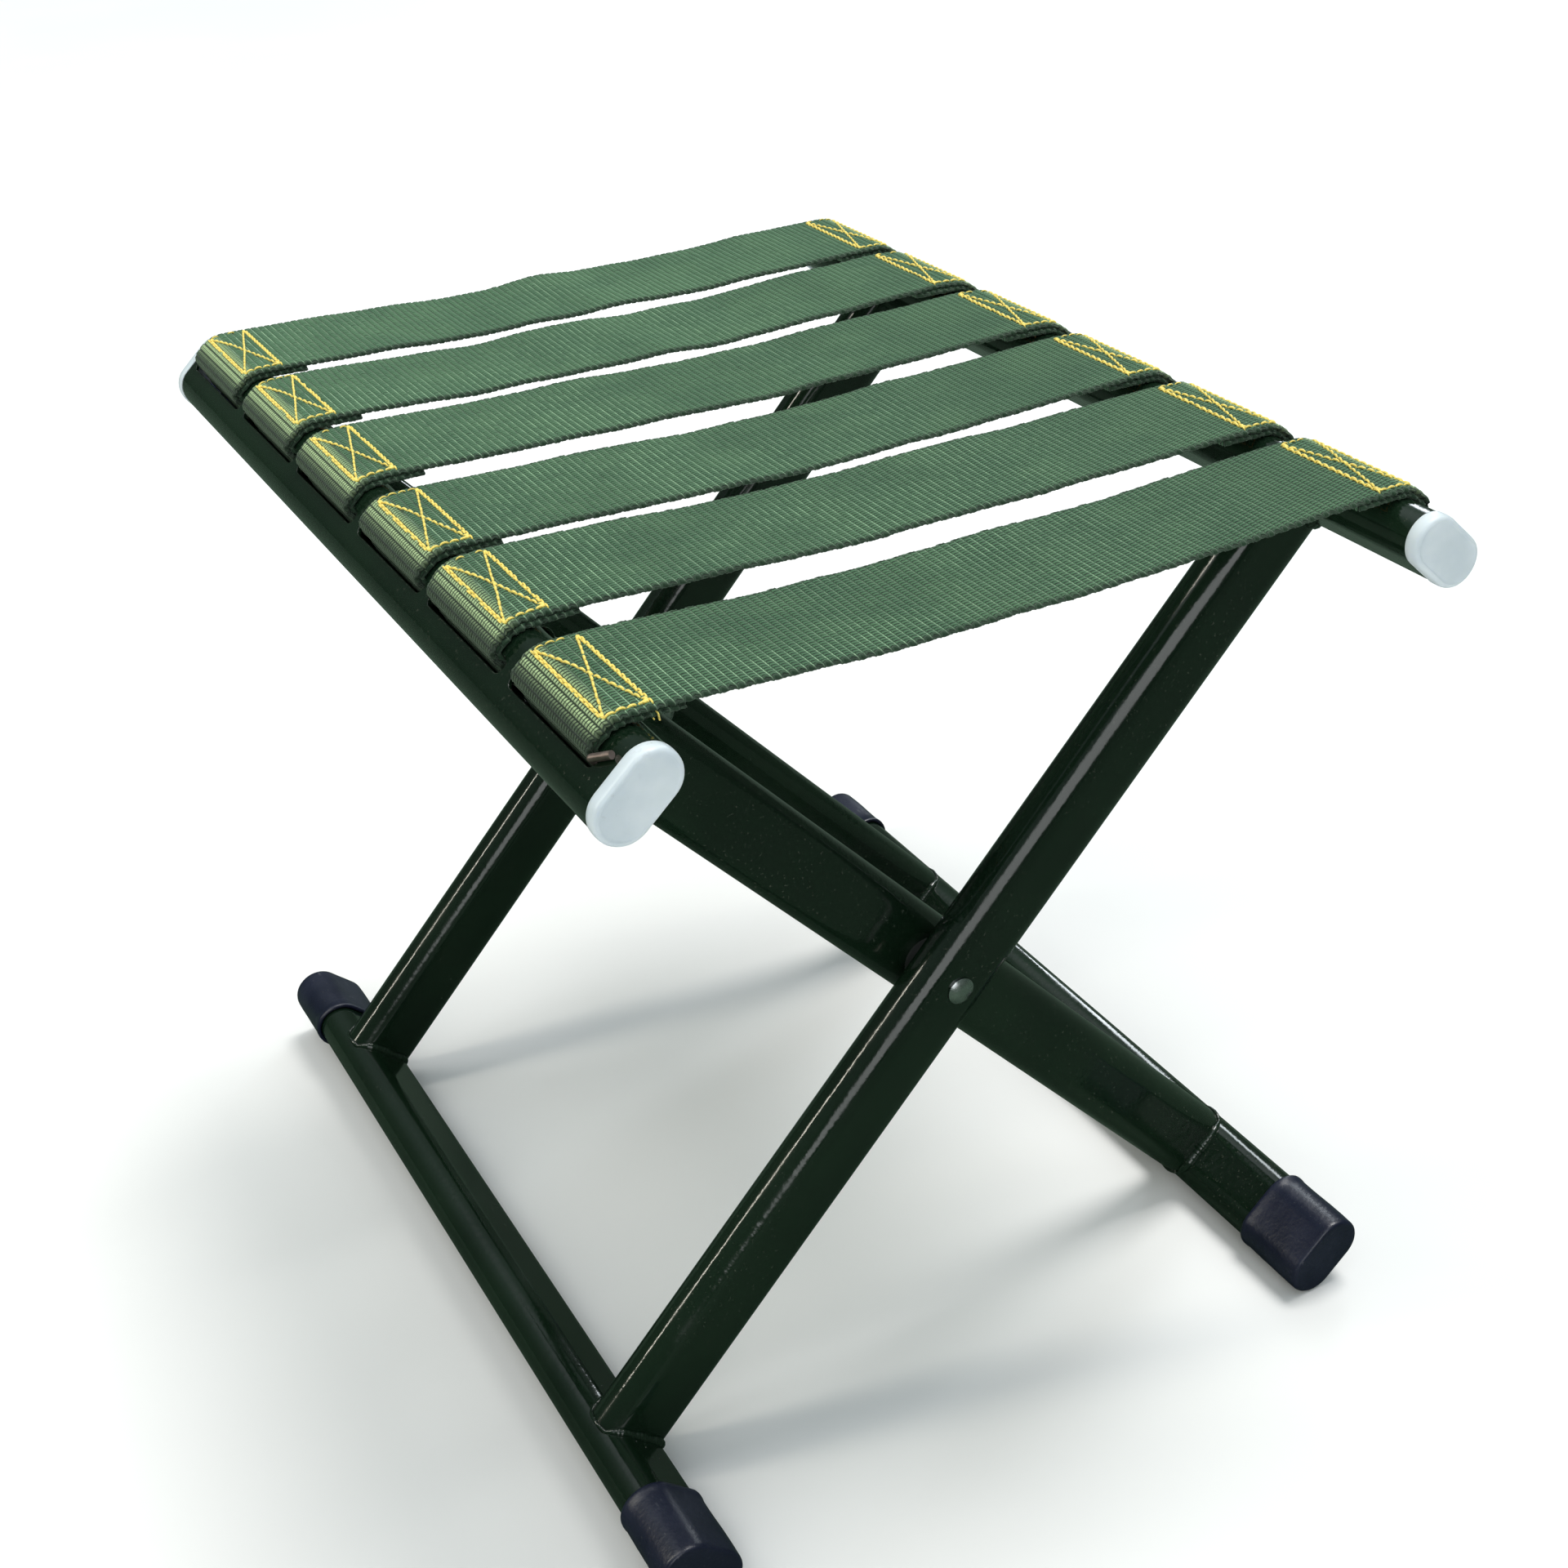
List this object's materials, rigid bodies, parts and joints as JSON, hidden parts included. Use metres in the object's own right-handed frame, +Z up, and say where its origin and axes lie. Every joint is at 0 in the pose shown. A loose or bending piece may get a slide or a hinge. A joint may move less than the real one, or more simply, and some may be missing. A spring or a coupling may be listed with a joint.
{
  "type": "camp stool",
  "caption": "Folding camp stool with crossing flat-oval steel tube frames and a seat of separate webbing straps stitched round the top rails.",
  "frame": {"origin": "on the floor under the middle of the open stool", "axes": "+X across the seat from the inner frame's rail to the outer frame's rail, +Y along the rails towards the rear, +Z up"},
  "size_m": [0.2964, 0.381, 0.32],
  "materials": {
    "tube_paint": "gloss",
    "weld_paint": "gloss",
    "webbing": "matte",
    "stitch_thread": "satin",
    "plug_plastic": "satin",
    "cap_rubber": "satin",
    "wire_steel": "satin",
    "rivet_steel": "satin",
    "spacer_nylon": "matte"
  },
  "bodies": {
    "inner_frame": {"inner_rail": "tube_paint", "inner_leg_front": "tube_paint", "inner_leg_rear": "tube_paint", "inner_foot_bar": "tube_paint", "inner_weld_beads": "weld_paint", "inner_strap_rod": "wire_steel", "inner_plug_front": "plug_plastic", "inner_plug_rear": "plug_plastic", "inner_cap_front": "cap_rubber", "inner_cap_rear": "cap_rubber", "seat_strap_1": "webbing", "seat_strap_2": "webbing", "seat_strap_3": "webbing", "seat_strap_4": "webbing", "seat_strap_5": "webbing", "seat_strap_6": "webbing"},
    "outer_frame": {"outer_rail": "tube_paint", "outer_leg_front": "tube_paint", "outer_leg_rear": "tube_paint", "outer_foot_bar": "tube_paint", "outer_weld_beads": "weld_paint", "outer_strap_rod": "wire_steel", "outer_plug_front": "plug_plastic", "outer_plug_rear": "plug_plastic", "outer_cap_front": "cap_rubber", "outer_cap_rear": "cap_rubber", "pivot_rivet_front": "rivet_steel", "pivot_rivet_rear": "rivet_steel", "pivot_spacer_front": "spacer_nylon", "pivot_spacer_rear": "spacer_nylon", "pivot_washer_front": "rivet_steel", "pivot_washer_rear": "rivet_steel"}
  },
  "joints": [
    {"name": "fold", "type": "hinge", "parent": "inner_frame", "child": "outer_frame", "pos_m": [0, 0, 0.15748], "axis": [0, -1, 0], "range_deg": [0, 70], "deforming": ["seat_strap_1", "seat_strap_2", "seat_strap_3", "seat_strap_4", "seat_strap_5", "seat_strap_6"]}
  ]
}
